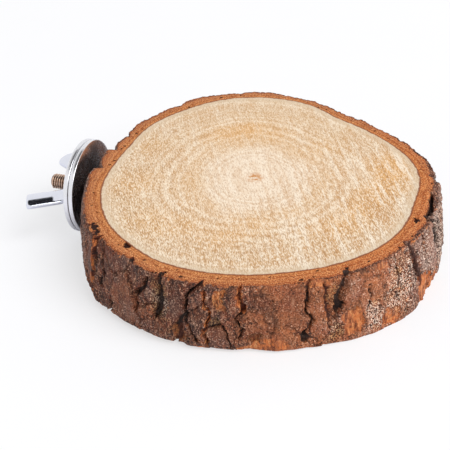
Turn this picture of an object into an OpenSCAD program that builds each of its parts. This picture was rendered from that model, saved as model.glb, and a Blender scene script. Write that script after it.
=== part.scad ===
// Bird perch: a natural slice of trunk with its bark on, held on a cage by a
// hanger bolt in its edge, two large washers and a wing nut.
// Millimetres, +Z up. The origin is on the underside at the middle of the slice.
// The bolt leaves the slice along -X.

/* [Wood slice] */
// Mean diameter of the pale wood inside the bark
wood_d = 101; // [80:1:150]
// Thickness of the slice
slice_h = 22.5; // [18:0.5:40]

/* [Bark] */
// Mean thickness of the whole bark, measured on the sawn top
bark_t = 5.4; // [4:0.1:8]
// Mean thickness of the smooth inner bark next to the wood
inner_bark_t = 2.2; // [1:0.1:3]
// Depth of the deepest fissures in the outer bark
fissure_depth = 2.3; // [0.5:0.1:3]
// Half width of a middling fissure
fissure_w = 1.3; // [1:0.1:2]
// How far a fissure wavers to each side of its way
fissure_waver = 0.6; // [0:0.1:1]
// Half size of the chips, where flakes of bark have come off
chip_r = 3; // [1:0.5:5]
// Depth of the deepest chips
chip_depth = 1; // [0:0.1:1.5]
// How far one plate of bark stands higher than another
plate_depth = 0.5; // [0:0.1:1]
// How far the side swells out at half height
bark_swell = 0.8; // [0:0.1:2]
// How far the underside stands out from the sawn top or is drawn in, where it does so most
bark_lean = 1.9; // [0:0.1:3]
// Crumbled break along the two sawn edges of the bark
bark_edge = 0.5; // [0.1:0.1:1]
// Least thickness of the outer bark under a fissure
bark_least = 0.6; // [0.4:0.1:1]

/* [Seat for the washers] */
// Height of the bolt above the underside
bolt_z = 12.4; // [9:0.1:16]
// Offset of the bolt to the side of the slice's middle
bolt_y = 0.95; // [-5:0.05:5]
// Swelling of the bark where the bolt enters
seat_swell = 4.3; // [1:0.1:6]
// Spread of that swelling to both sides of the bolt
seat_spread = 14; // [8:0.5:20]
// Spread of that swelling up and down from the bolt
seat_rise = 7.5; // [5:0.5:12]
// Depth that the washer has crushed flat into the swelling
seat_bite = 0.25; // [0.1:0.05:0.6]

/* [Hanger bolt] */
// Outer diameter of both threads
bolt_d = 5; // [4:0.1:6]
// Whole length of the bolt
bolt_len = 50; // [44:1:60]
// Free thread beyond the wing nut
stub_len = 5.6; // [3:0.1:12]
// Plain shank between the two threads
shank_len = 5; // [2:0.5:8]
// Diameter of the shank, and of the pilot hole for the screw end
shank_d = 4.3; // [3.4:0.1:5]
// Length of the screw end that is driven into the wood
screw_len = 25; // [18:1:30]
// Length of its tapered point
point_len = 6; // [3:0.5:9]
// Blunt end of that point
point_d = 1; // [0.5:0.1:2]
// Chamfer at the outer end
bolt_chamfer = 0.6; // [0.2:0.1:1]
// Diameter of the free thread, which is rolled thin so that a nut starts on it
lead_d = 4.6; // [3.6:0.1:5.9]

/* [Washers] */
// Outer diameter of each washer
washer_d = 30; // [20:0.5:40]
// Thickness of each washer
washer_t = 1.6; // [1:0.1:3]
// Hole in each washer
washer_hole_d = 5.3; // [5.2:0.1:7]
// Rounding of the washer's rim
washer_edge = 0.3; // [0.1:0.05:0.5]

/* [Wing nut] */
// Diameter of the hub on its bearing face
hub_d = 11.8; // [10:0.1:16]
// Diameter of the hub at its crown
hub_top_d = 9; // [8:0.1:9.8]
// Height of the hub
hub_h = 5; // [4:0.1:8]
// Distance over both wing tips
wing_span = 35.2; // [30:0.2:44]
// Height of the wing tips over the bearing face
wing_h = 14.1; // [11:0.1:18]
// Width of a wing across its blade
wing_w = 7.6; // [5:0.1:9]
// Lean of a wing away from the bolt
wing_lean = 24; // [10:1:40]
// Thickness of a wing at its root
wing_t = 3.2; // [2:0.1:4]
// Thickness of a wing at its tip
wing_tip_t = 2.6; // [1.5:0.1:4]
// Corner radius of a wing tip
wing_corner = 1.6; // [1.1:0.1:2.4]
// Rounding of the wing's long edges
wing_edge = 0.8; // [0.4:0.1:1]
// Gap between the nut's thread crests and the bolt
thread_gap = 0.05; // [0.02:0.01:0.1]

/* [Fits] */
// Gap between the crushed bark and the inner washer
seat_gap = 0.1; // [0.05:0.05:0.3]
// Gap between the washers, and between washer and nut
face_gap = 0.1; // [0.05:0.05:0.3]
// Radial room around the bolt in the bark
bark_gap = 0.15; // [0.05:0.05:0.4]
// Radial room around the plain shank in the wood
pilot_gap = 0.02; // [0.01:0.01:0.1]
// Extra depth of the pilot hole past the bolt's point
drill_over = 1.5; // [0.5:0.5:4]

/* [Hidden] */

// Colours
wood_colour = "#dfc9a0";
inner_bark_colour = "#bd7440";
outer_bark_colour = "#6b5349";
bolt_colour = "#a98a62";
steel_colour = "#d9dade";

// Columns and levels of the bark's surface
columns = 360;
level_shares = [0, 0.05, 0.14, 0.24, 0.34, 0.44, 0.54, 0.64, 0.74, 0.84, 0.95, 1];
// Overrun of a cutting solid
over = 1;
round_fn = 96;
blend_fn = 24;

// The wood's outline, as shares of its mean radius, every 15 degrees from +X
wood_shares = [
    0.957, 0.966, 0.954, 0.925, 0.92, 0.945, 1.058, 1.131, 1.152, 1.111, 1.061, 0.978,
    0.946, 0.95, 0.956, 0.966, 0.975, 1, 1.004, 1.004, 1.004, 1.02, 1.02, 0.994
];
// The bark's thickness round the slice, as shares of its mean, at the same places
bark_shares = [
    1.3, 1.2, 0.9, 0.87, 0.7, 0.74, 0.6, 0.78, 0.9, 0.94, 0.89, 0.82,
    0.8, 0.95, 1.04, 1.09, 1.04, 1.11, 1.15, 1.1, 1.04, 1.2, 1.04, 1.17
];
// How far the underside stands out or is drawn in, as shares of the most, at the same places
foot_shares = [
    0.5, 0.1, 0, -0.15, -0.2, 0, 0.15, 0.2, 0, -0.15, -0.1, 0,
    0, 0.05, 0.45, 0.95, 0.3, -0.4, -1, -0.85, -0.5, -0.15, 0.6, 0.75
];

// Fissures of the seen side: a share of the depth, then the way down the bark as azimuth, share
// of the height and share of the half width
seen_fissures = [
    [0.7, [[231, 1, 0.85], [228, 0.8, 0.8], [226, 0.55, 0.8], [223, 0.3, 0.8], [221, 0, 0.8]]],
    [0.6, [[233.5, 1, 0.8], [232, 0.75, 0.8], [230, 0.35, 0.8]]],
    [0.55, [[237.5, 0.3, 0.8], [235, 0, 0.8]]],
    [0.95, [[255, 0.92, 0.8], [253.5, 0.8, 0.8], [250, 0.6, 0.9], [250, 0.46, 1], [249, 0.3, 0.8]]],
    [0.75, [[259.5, 1, 0.8], [258.7, 0.8, 1.1], [258.5, 0.62, 1.25], [257.5, 0.42, 0.85], [257, 0.3, 0.8]]],
    [0.95, [[272, 1, 0.8], [270, 0.9, 0.8], [267.7, 0.79, 0.8], [266, 0.46, 0.85]]],
    [0.85, [[266, 0.46, 0.85], [264.5, 0.32, 1.1], [263, 0.16, 1.25], [262, 0, 0.8]]],
    [0.5, [[266.5, 0.46, 0.8], [268, 0.3, 0.8], [268.8, 0.1, 0.8]]],
    [0.6, [[273, 0.9, 0.8], [273.5, 0.6, 0.8], [273, 0.38, 0.8], [272, 0.06, 0.8]]],
    [0.5, [[273, 0.36, 0.8], [277.5, 0.41, 0.8]]],
    [0.65, [[282.5, 1, 0.8], [283.5, 0.66, 0.85], [281, 0.52, 0.8], [282.5, 0.38, 0.8], [282, 0.2, 0.8]]],
    [0.65, [[302.7, 1, 0.8], [300.5, 0.86, 0.8], [302.5, 0.42, 0.8], [300.5, 0.2, 0.8]]],
    [1, [[313.8, 1, 0.85], [312.3, 0.9, 1], [311.2, 0.76, 1.15], [310.3, 0.58, 1.1], [309.5, 0.4, 0.8]]],
    [0.75, [[335.5, 1, 0.8], [336.5, 0.8, 0.8], [338.5, 0.52, 0.8], [342, 0.26, 0.8]]],
    [1, [[349.5, 1, 0.8], [350.3, 0.8, 0.85], [352, 0.48, 0.85], [354.5, 0.2, 0.8]]],
    [0.45, [[277.5, 0.38, 0.8], [279, 0.04, 0.8]]],
    [0.4, [[306, 0.94, 0.8], [307.5, 0.46, 0.8], [307.5, 0.26, 0.8]]],
    [0.45, [[329.5, 0.85, 0.8], [329.5, 0.35, 0.8]]],
    [0.45, [[352, 0.84, 0.8], [363, 0.82, 0.8]]]
];
// Fissures of the hidden side: azimuth at half height, lean in degrees from the underside to
// the top, then shares of the half width and of the depth, and the stretch of the height
hidden_fissures = [
    [8, -2, 0.8, 0.9, 0, 1],
    [17, 3, 1, 0.8, 0.1, 1],
    [27, -4, 1.1, 0.9, 0, 0.7],
    [38, 2, 0.9, 0.8, 0.2, 1],
    [47, -3, 1.2, 0.9, 0, 1],
    [58, 4, 0.9, 0.7, 0, 0.8],
    [68, 1, 1.1, 0.9, 0.1, 1],
    [80, -5, 1, 0.8, 0, 1],
    [91, 3, 1.3, 0.9, 0, 0.9],
    [101, -2, 0.9, 0.8, 0.3, 1],
    [112, 4, 1.1, 0.9, 0, 1],
    [124, -3, 1, 0.8, 0, 0.7],
    [134, 2, 1.2, 0.9, 0.1, 1],
    [146, -4, 0.9, 0.8, 0, 1],
    [158, 3, 1, 0.7, 0, 1],
    [204, 2, 0.9, 0.5, 0, 0.8]
];
// Chips where flakes of bark have come off: azimuth and share of the height, then shares of the
// half width, of the half height and of the depth
chips = [
    [231.5, 0.96, 0.5, 0.7, 1],
    [230.5, 0.3, 0.45, 0.45, 1],
    [222, 0.08, 0.5, 0.5, 0.7],
    [263.5, 0.14, 0.9, 1, 0.6],
    [277.2, 0.8, 0.6, 1.2, 0.8],
    [287, 0.2, 0.65, 0.75, 1],
    [304.5, 0.96, 1.1, 0.4, 0.6],
    [314.6, 0.3, 1, 1.4, 1],
    [325.5, 0.95, 0.9, 0.5, 0.8],
    [327, 0.16, 1, 0.9, 0.9],
    [346, 0.2, 1.7, 1.5, 0.6],
    [13, 0.3, 1, 1.3, 0.8],
    [22, 0.8, 0.9, 1, 0.6],
    [33, 0.12, 1.3, 0.8, 0.9],
    [43, 0.6, 0.7, 1.6, 0.7],
    [53, 0.3, 1, 1, 1],
    [63, 0.75, 1.2, 1.2, 0.6],
    [74, 0.4, 1, 1.5, 0.8],
    [86, 0.1, 1.5, 0.9, 1],
    [96, 0.6, 0.8, 1.2, 0.7],
    [107, 0.25, 1.1, 1.4, 0.8],
    [118, 0.7, 1.2, 1, 0.9],
    [129, 0.35, 0.8, 1.3, 0.7],
    [140, 0.15, 1.4, 1, 1],
    [152, 0.5, 0.9, 1.5, 0.7],
    [163, 0.12, 1.1, 0.8, 0.6],
    [199, 0.3, 0.9, 1, 0.6],
    [210, 0.45, 1, 1.5, 0.8]
];
// Waves by which the fissures waver: how many round the slice, a twist in degrees over the
// height and a share of the waver
waver_shares = [
    [5, 620, 0.6],
    [-9, 1000, 0.4]
];
// Waves that set the plates at different heights: how many round the slice, a phase in
// degrees, a twist in degrees over the height and a share of the step
plate_shares = [
    [11, 40, 30, 0.45],
    [17, 115, -60, 0.35],
    [29, 250, 80, 0.2]
];

// A table with one entry every few degrees, read as a smooth closed curve
function entry(table, i) = table[(i + len(table)) % len(table)];
function smooth_at(table, azimuth) =
    let (u = ((azimuth % 360 + 360) % 360) * len(table) / 360, i = floor(u), f = u - i)
    let (a = entry(table, i - 1), b = entry(table, i), c = entry(table, i + 1), d = entry(table, i + 2))
    b + f * ((c - a) + f * ((2 * a - 5 * b + 4 * c - d) + f * (3 * (b - c) + d - a))) / 2;

// Radii of the wood and of the two layers of bark at an azimuth
function wood_r(azimuth) = wood_d / 2 * smooth_at(wood_shares, azimuth);
function inner_bark_r(azimuth) = wood_r(azimuth) + inner_bark_t * smooth_at(bark_shares, azimuth);
function sawn_r(azimuth) = wood_r(azimuth) + bark_t * smooth_at(bark_shares, azimuth);

// Swelling at half height, the underside's stand-out, and the swelling at the bolt
function side_swell(share) = bark_swell * 4 * share * (1 - share);
function foot(azimuth, share) = bark_lean * (1 - share) * smooth_at(foot_shares, azimuth);
function near_bolt(azimuth, z) =
    let (along = (sawn_r(180) * sin(azimuth) + bolt_y) / seat_spread, up = (z - bolt_z) / seat_rise)
    cos(azimuth) > 0 ? 0 : exp(-along * along - up * up);

// Shortest way round from one azimuth to another
function turn_to(from, to) = ((to - from) % 360 + 540) % 360 - 180;
// 0 to 1 between two values, level at both ends
function smooth_step(start, end, value) =
    let (t = min(1, max(0, (value - start) / (end - start))))
    t * t * (3 - 2 * t);

// Distance from one leg of a fissure's way on a bark of radius r, over the half width there
function leg_gap(a, b, azimuth, z, r) =
    let (
        arc = r * PI / 180,
        x = turn_to(a[0], azimuth) * arc,
        y = z - a[1] * slice_h,
        run = turn_to(a[0], b[0]) * arc,
        rise = (b[1] - a[1]) * slice_h,
        t = min(1, max(0, (x * run + y * rise) / (run * run + rise * rise)))
    )
    norm([x - t * run, y - t * rise]) / fissure_w / (a[2] + t * (b[2] - a[2]));
function way_gap(way, azimuth, z, r) =
    min([for (k = [1:len(way) - 1]) leg_gap(way[k - 1], way[k], azimuth, z, r)]);
function notch(f, azimuth, z, r) =
    let (way = f[1], reach = 14)
    abs(turn_to(way[0][0], azimuth)) > reach
        ? 0
        : f[0] * smooth_step(1.3, 0.35, way_gap(way, azimuth, z, r));
function waver(azimuth, share) =
    fissure_waver * [for (w = waver_shares) w[2] * sin(w[0] * azimuth + w[1] * share)]
        * [for (w = waver_shares) 1];
function straight_way(f) = [for (share = [f[4], f[5]]) [f[0] + f[1] * (share - 0.5), share, f[2]]];
fissures = concat(seen_fissures, [for (f = hidden_fissures) [f[3], straight_way(f)]]);
function fissure(azimuth, share, r) =
    let (bent = azimuth + waver(azimuth, share) / r * 180 / PI)
    fissure_depth * max([for (f = fissures) notch(f, bent, share * slice_h, r)]);
// Distance from a chip's middle over its half sizes there, square with round corners
function chip_gap(c, azimuth, share, r) =
    let (x = turn_to(c[0], azimuth) * r * PI / 180 / c[2], y = (share - c[1]) * slice_h / c[3])
    pow(pow(abs(x), 3) + pow(abs(y), 3), 1 / 3) / chip_r;
function chip(azimuth, share, r) =
    chip_depth * max([for (c = chips) c[4] * smooth_step(1.2, 0.8, chip_gap(c, azimuth, share, r))]);
function plate(azimuth, share) =
    plate_depth * [for (w = plate_shares) w[3] * sin(w[0] * azimuth + w[1] + w[2] * share)]
        * [for (w = plate_shares) 1];

// Radius of the outer bark at an azimuth and a share of the height
function outer_bark_r(azimuth, share) =
    let (
        sawn = sawn_r(azimuth),
        near = near_bolt(azimuth, share * slice_h),
        calm = 1 - near,
        crumbled = bark_edge * (share == 0 || share == 1 ? 1 : 0),
        sunk = max(fissure(azimuth, share, sawn), chip(azimuth, share, sawn)),
        relief = calm * (plate(azimuth, share) - sunk),
        plain = sawn + side_swell(share) + foot(azimuth, share) + seat_swell * near - crumbled
    )
    max(inner_bark_r(azimuth) + bark_least, plain + relief);

// The washers bear on the swelling, which they have crushed flat
seat_x = sawn_r(180) + side_swell(bolt_z / slice_h) + seat_swell - seat_bite;

// Stations along the bolt, outward from the crushed seat
inner_washer_at = seat_gap;
outer_washer_at = inner_washer_at + washer_t + face_gap;
nut_at = outer_washer_at + washer_t + face_gap;
bolt_out = nut_at + hub_h + stub_len;
bolt_in = bolt_len - bolt_out;
machine_in = bolt_in - screw_len - shank_len;

// Places a solid that is modelled along +Z onto the bolt's axis, outward along -X
module on_bolt(at) {
    translate([-seat_x - at, bolt_y, bolt_z])
        rotate([0, -90, 0])
            children();
}

function ring_points(radius) =
    [for (k = [0:columns - 1]) radius[k] * [cos(360 * k / columns), sin(360 * k / columns)]];
function wood_outline() = ring_points([for (k = [0:columns - 1]) wood_r(360 * k / columns)]);
function inner_bark_outline() = ring_points([for (k = [0:columns - 1]) inner_bark_r(360 * k / columns)]);

// Hole for the bolt: clear of the machine thread, then the pilot for shank and screw
module bolt_hole() {
    clear_r = bolt_d / 2 + bark_gap;
    pilot_r = shank_d / 2 + pilot_gap;
    pilot_end = bolt_in + drill_over;
    on_bolt(-machine_in)
        cylinder(r = clear_r, h = machine_in + seat_swell + bark_t + over, $fn = round_fn);
    on_bolt(-pilot_end)
        cylinder(r = pilot_r, h = pilot_end, $fn = round_fn);
    on_bolt(-pilot_end - pilot_r / 2)
        cylinder(r1 = 0, r2 = pilot_r, h = pilot_r / 2, $fn = round_fn);
}

module wood_disc() {
    color(wood_colour)
        difference() {
            linear_extrude(slice_h)
                polygon(wood_outline());
            bolt_hole();
        }
}

module inner_bark() {
    color(inner_bark_colour)
        difference() {
            linear_extrude(slice_h)
                difference() {
                    polygon(inner_bark_outline());
                    polygon(wood_outline());
                }
            bolt_hole();
        }
}

// A closed skin: rings of the fissured side from the underside up, then the smooth bore. Each
// square of the side is halved along its more level diagonal, which follows a leaning fissure
module bark_skin() {
    levels = len(level_shares);
    radii = [for (share = level_shares, k = [0:columns - 1]) outer_bark_r(360 * k / columns, share)];
    side = [
        for (j = [0:levels - 1], k = [0:columns - 1])
            let (azimuth = 360 * k / columns, r = radii[j * columns + k])
            [r * cos(azimuth), r * sin(azimuth), level_shares[j] * slice_h]
    ];
    bore = [for (z = [0, slice_h], p = inner_bark_outline()) [p[0], p[1], z]];
    under = levels * columns;
    top = under + columns;
    faces = [
        for (j = [0:levels - 2], k = [0:columns - 1])
            let (low = j * columns, high = low + columns, n = (k + 1) % columns)
            let (a = low + k, b = high + k, c = high + n, d = low + n)
            each abs(radii[a] - radii[c]) < abs(radii[b] - radii[d])
                ? [[a, b, c], [a, c, d]]
                : [[a, b, d], [b, c, d]],
        for (k = [0:columns - 1])
            let (n = (k + 1) % columns, rim = (levels - 1) * columns)
            each [
                [rim + k, top + k, top + n], [rim + k, top + n, rim + n],
                [top + k, under + k, under + n], [top + k, under + n, top + n],
                [under + k, k, n], [under + k, n, under + n]
            ]
    ];
    polyhedron(points = concat(side, bore), faces = faces, convexity = 8);
}

module outer_bark() {
    color(outer_bark_colour)
        difference() {
            bark_skin();
            bolt_hole();
            translate([-seat_x - seat_swell, bolt_y - seat_spread, bolt_z - seat_spread])
                cube([seat_swell, 2 * seat_spread, 2 * seat_spread]);
        }
}

// Machine thread outside, plain shank, then a screw thread with a tapered point
module hanger_bolt() {
    r = bolt_d / 2;
    shank_r = shank_d / 2;
    lead_r = min(lead_d, bolt_d) / 2;
    step = r - shank_r;
    lead_at = bolt_out - stub_len;
    shank_end = -machine_in - shank_len;
    color(bolt_colour)
        on_bolt(0)
            rotate_extrude($fn = round_fn)
                polygon([
                    [0, bolt_out],
                    [lead_r - bolt_chamfer, bolt_out],
                    [lead_r, bolt_out - bolt_chamfer],
                    [lead_r, lead_at],
                    [r, lead_at - r + lead_r],
                    [r, -machine_in + step],
                    [shank_r, -machine_in],
                    [shank_r, shank_end],
                    [r, shank_end - step],
                    [r, point_len - bolt_in],
                    [point_d / 2, -bolt_in],
                    [0, -bolt_in]
                ]);
}

module washer() {
    r = washer_d / 2;
    hole_r = washer_hole_d / 2;
    bevel = washer_edge / 3;
    rotate_extrude($fn = 2 * round_fn)
        polygon([
            [hole_r + bevel, 0],
            [r - washer_edge, 0],
            [r - bevel, bevel],
            [r, washer_edge],
            [r, washer_t - washer_edge],
            [r - bevel, washer_t - bevel],
            [r - washer_edge, washer_t],
            [hole_r + bevel, washer_t],
            [hole_r, washer_t - bevel],
            [hole_r, bevel]
        ]);
}

module inner_washer() {
    color(steel_colour)
        on_bolt(inner_washer_at)
            washer();
}

module outer_washer() {
    color(steel_colour)
        on_bolt(outer_washer_at)
            washer();
}

// A disc with rounded rims that stands on edge in the plane of the wings
module pad(y, z, r, t) {
    edge = min(wing_edge, t / 2.2);
    bevel = edge / 3;
    translate([0, y, z])
        rotate([0, 90, 0])
            rotate_extrude($fn = blend_fn)
                polygon([
                    [0, -t / 2],
                    [r - edge, -t / 2],
                    [r - bevel, bevel - t / 2],
                    [r, edge - t / 2],
                    [r, t / 2 - edge],
                    [r - bevel, t / 2 - bevel],
                    [r - edge, t / 2],
                    [0, t / 2]
                ]);
}

// One wing: a web out of the hub, and a square-ended blade that leans away from the bolt
module wing() {
    tip_run = wing_w - 2 * wing_corner;
    tip_out_y = wing_span / 2 - wing_corner;
    tip_in_y = tip_out_y - tip_run * cos(wing_lean);
    tip_in_z = wing_h - wing_corner;
    tip_out_z = tip_in_z - tip_run * sin(wing_lean);
    root_z = 0.6 * hub_h;
    root_out_y = tip_out_y - (tip_out_z - root_z) * tan(1.35 * wing_lean);
    root_in_y = root_out_y - 0.4 * wing_w;
    hull() {
        pad(tip_in_y, tip_in_z, wing_corner, wing_tip_t);
        pad(tip_out_y, tip_out_z, wing_corner, wing_tip_t);
        pad(root_in_y, root_z, wing_corner, wing_t);
        pad(root_out_y, root_z, wing_corner, wing_t);
    }
    hull() {
        pad(hub_top_d / 2 - wing_corner / 2, root_z - wing_corner / 4, wing_corner, wing_t);
        pad(root_in_y, root_z, wing_corner, wing_t);
        pad(root_out_y, root_z, wing_corner, wing_t);
    }
}

module hub() {
    r = hub_d / 2;
    top_r = hub_top_d / 2;
    edge = hub_h / 12;
    rotate_extrude($fn = round_fn)
        polygon([
            [0, 0],
            [r - edge, 0],
            [r, edge],
            [r, 3 * edge],
            [r - edge, 4.5 * edge],
            [top_r + edge / 2, hub_h - 3 * edge],
            [top_r, hub_h - 1.5 * edge],
            [top_r - edge, hub_h - edge / 3],
            [top_r - 2 * edge, hub_h],
            [0, hub_h]
        ]);
}

module wing_nut() {
    bore_r = bolt_d / 2 + thread_gap;
    sink = hub_h / 10;
    color(steel_colour)
        on_bolt(nut_at)
            difference() {
                union() {
                    hub();
                    wing();
                    mirror([0, 1, 0])
                        wing();
                }
                translate([0, 0, -over])
                    cylinder(r = bore_r, h = hub_h + 2 * over, $fn = round_fn);
                translate([0, 0, -over])
                    cylinder(r1 = bore_r + sink + over, r2 = bore_r, h = sink + over, $fn = round_fn);
                translate([0, 0, hub_h - sink])
                    cylinder(r1 = bore_r, r2 = bore_r + sink + over, h = sink + over, $fn = round_fn);
            }
}

wood_disc();
inner_bark();
outer_bark();
hanger_bolt();
inner_washer();
outer_washer();
wing_nut();
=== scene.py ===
# Bird perch, dressed: the sawn slice, its bark, the hanger bolt, two washers and the wing nut.
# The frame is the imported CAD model: metres, +Z up, the bolt leaves the slice along -X.
# Shapes are worked out in millimetres and scaled when a mesh is made.
import math
import random

import bmesh
import bpy
import numpy as np
from mathutils import Matrix, Vector, noise


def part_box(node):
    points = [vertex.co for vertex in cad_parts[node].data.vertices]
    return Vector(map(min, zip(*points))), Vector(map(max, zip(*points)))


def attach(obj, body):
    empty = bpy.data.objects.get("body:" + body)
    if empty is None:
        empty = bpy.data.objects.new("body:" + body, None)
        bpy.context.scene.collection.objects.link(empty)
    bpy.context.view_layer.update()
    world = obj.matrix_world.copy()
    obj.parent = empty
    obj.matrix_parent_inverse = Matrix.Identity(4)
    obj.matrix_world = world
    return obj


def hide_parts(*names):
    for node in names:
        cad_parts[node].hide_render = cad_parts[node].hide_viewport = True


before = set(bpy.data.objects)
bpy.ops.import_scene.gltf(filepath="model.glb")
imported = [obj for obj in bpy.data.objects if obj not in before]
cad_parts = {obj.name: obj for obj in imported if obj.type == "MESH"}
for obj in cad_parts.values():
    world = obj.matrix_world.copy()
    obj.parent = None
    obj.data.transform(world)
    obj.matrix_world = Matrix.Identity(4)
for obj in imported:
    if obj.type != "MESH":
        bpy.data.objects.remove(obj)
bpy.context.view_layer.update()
MM = 0.001


def box_mm(node):
    lo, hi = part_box(node)
    return np.array(lo) / MM, np.array(hi) / MM


# Sizes read from the frame
wood_hi = box_mm("wood_disc")[1]
washer_lo, washer_hi = box_mm("inner_washer")
outer_lo, outer_hi = box_mm("outer_washer")
nut_lo, nut_hi = box_mm("wing_nut")
bolt_lo, bolt_hi = box_mm("hanger_bolt")
slice_h = wood_hi[2]
washer_d = washer_hi[2] - washer_lo[2]
washer_t = washer_hi[0] - washer_lo[0]
bolt_y = (washer_lo[1] + washer_hi[1]) / 2
bolt_z = (washer_lo[2] + washer_hi[2]) / 2
seat_gap = 0.1
seat_x = -washer_hi[0] - seat_gap

# The slice's driving sizes and its outline, as in the CAD source
WOOD_R = 50.5
BARK_T = 5.4
INNER_BARK_T = 2.2
SIDE_SWELL = 0.8
BARK_LEAN = 1.9
SEAT_SWELL = 4.3
SEAT_SPREAD = 14
SEAT_SPREAD_Z = 7.5
WOOD_SHARES = [
    0.957, 0.966, 0.954, 0.925, 0.92, 0.945, 1.058, 1.131, 1.152, 1.111, 1.061, 0.978,
    0.946, 0.95, 0.956, 0.966, 0.975, 1, 1.004, 1.004, 1.004, 1.02, 1.02, 0.994,
]
BARK_SHARES = [
    1.3, 1.2, 0.9, 0.87, 0.7, 0.74, 0.6, 0.78, 0.9, 0.94, 0.89, 0.82,
    0.8, 0.95, 1.04, 1.09, 1.04, 1.11, 1.15, 1.1, 1.04, 1.2, 1.04, 1.17,
]
# How far the underside stands out from the sawn top or is drawn in, as shares of BARK_LEAN
FOOT_SHARES = [
    0.5, 0.1, 0, -0.15, -0.2, 0, 0.15, 0.2, 0, -0.15, -0.1, 0,
    0, 0.05, 0.45, 0.95, 0.3, -0.4, -1, -0.85, -0.5, -0.15, 0.6, 0.75,
]

# Tone of the outer bark every 15 degrees from +X: 0 is grey purple, 1 is warm tan. Round the front
# it is also painted light: darkest at 225 to 270 degrees, lightest at 315 to 330 towards the lamp.
# Ash is how weathered and pale it is
TONE_AND_LIGHT_SHARES = [
    0.5, 0.4, 0.5, 0.6, 0.5, 0.4, 0.5, 0.6, 0.5, 0.4, 0.5, 0.45,
    0.4, 0.3, 0.25, 0.04, 0.02, 0.26, 0.2, 0.45, 0.6, 1, 0.9, 0.45,
]
ASH_SHARES = [
    0.9, 0.7, 0.4, 0.2, 0.1, 0.2, 0.3, 0.1, 0.1, 0.2, 0.1, 0.2,
    0.3, 0.4, 0.3, 0.04, 0.04, 0.1, 0.1, 0, 0, 0.15, 0.3, 0.65,
]

# Fissures seen in the photograph: depth in millimetres, how orange the lining is from 0 to 1, and
# the path as azimuth in degrees, share of the height and half width in millimetres
SEEN_FISSURES = [
    (1.6, 0.3, [(229, 1, 0.9), (229.2, 0.8, 0.8), (228.6, 0.55, 0.8), (227.2, 0.35, 0.9), (224.4, 0, 1)]),
    (1.4, 0, [(228.6, 0.98, 0.3), (229.6, 0.82, 0.4), (230.4, 0.74, 0.6), (230.8, 0.64, 0.4)]),
    (1.4, 0, [(233, 0.98, 0.6), (233.2, 0.8, 0.3), (234.4, 0.66, 0.5), (234.4, 0.5, 0.4)]),
    (1.3, 0, [(237.5, 0.3, 0.5), (236.5, 0.15, 0.6), (235, 0, 0.8)]),
    (2.2, 0, [(255, 0.92, 0.5), (253.5, 0.8, 0.8), (250, 0.6, 1.2), (250, 0.46, 1.3), (249, 0.3, 0.7)]),
    (1.7, 0.1, [(259.5, 1, 0.8), (258.7, 0.8, 1.4), (258.5, 0.6, 1.6), (257.5, 0.4, 1.1), (257, 0.3, 0.4)]),
    (2.2, 0.1, [(272, 1, 0.7), (270, 0.9, 0.6), (267.7, 0.79, 0.5), (266.8, 0.6, 0.6), (266, 0.46, 0.9)]),
    (2, 0.2, [(266, 0.46, 0.9), (264.5, 0.32, 1.4), (263, 0.16, 1.6), (262, 0.02, 0.8)]),
    (1.2, 0, [(266.5, 0.46, 0.5), (268, 0.3, 0.6), (268.8, 0.1, 0.6)]),
    (1.4, 0.8, [(273, 0.92, 0.3), (273.2, 0.75, 0.5), (273.5, 0.6, 0.5), (273, 0.38, 0.4)]),
    (1.3, 0.5, [(273, 0.38, 0.4), (272, 0.26, 0.5), (272, 0.06, 0.6)]),
    (1.2, 0, [(273, 0.36, 0.5), (275, 0.38, 0.6), (277.5, 0.41, 0.5)]),
    (1, 0, [(277.5, 0.38, 0.4), (278.5, 0.24, 0.5), (279, 0.04, 0.5)]),
    (1.6, 0.8, [(282.5, 1, 0.6), (283, 0.84, 0.7), (283.5, 0.66, 0.9)]),
    (1.3, 0.1, [(283.5, 0.66, 0.7), (281, 0.52, 0.4), (282.5, 0.38, 0.5), (282, 0.2, 0.4)]),
    (1.5, 0.1, [(302.7, 1, 0.6), (300.5, 0.9, 0.6), (301.5, 0.6, 0.5), (302.5, 0.4, 0.5), (300, 0.2, 0.8)]),
    (0.9, 0.4, [(306, 0.94, 0.6), (307, 0.72, 0.9), (307.5, 0.46, 1), (307.5, 0.26, 0.7)]),
    (2.3, 0, [(313.8, 1, 0.9), (312, 0.9, 1.3), (311, 0.76, 1.5), (310.3, 0.6, 1.4), (309.5, 0.4, 0.6)]),
    (0.7, 0.1, [(319.5, 0.78, 0.4), (319.7, 0.62, 0.5), (320, 0.5, 0.5), (319, 0.4, 0.4)]),
    (1, 0.3, [(329.5, 0.85, 0.5), (330, 0.6, 0.6), (329.5, 0.35, 0.6)]),
    (1.9, 0.3, [(336.8, 1, 0.8), (337, 0.8, 1), (338.6, 0.52, 1.1), (340.6, 0.3, 0.7)]),
    (0.8, 0.35, [(337.8, 1, 0.7), (338.4, 0.8, 1.1), (340, 0.52, 1.2), (341.8, 0.3, 0.8)]),
    (0.9, 0.5, [(344.5, 0.98, 0.4), (344, 0.84, 0.4), (343.6, 0.72, 0.3)]),
    (2.3, 0, [(352.2, 1, 1.4), (352, 0.88, 1.4), (352.5, 0.7, 1.3), (353.5, 0.5, 1.1), (356.5, 0.3, 0.7)]),
    (0.9, 0, [(352, 0.66, 0.4), (355.5, 0.58, 0.5), (357.5, 0.44, 0.4), (361, 0.3, 0.3)]),
    (1, 0, [(354, 0.92, 0.4), (358.5, 0.8, 0.6), (359.5, 0.66, 0.5), (362.5, 0.52, 0.4)]),
]

# Share of the outer bark's sawn width that has crumbled to weathered bark, every 15 degrees
WORN_SHARES = [
    0.6, 0.62, 0.36, 0.15, 0.1, 0.1, 0.1, 0.1, 0.1, 0.1, 0.1, 0.1,
    0.1, 0.1, 0.1, 0.15, 0.1, 0.1, 0.1, 0.1, 0.12, 0.34, 0.3, 0.36,
]

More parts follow.
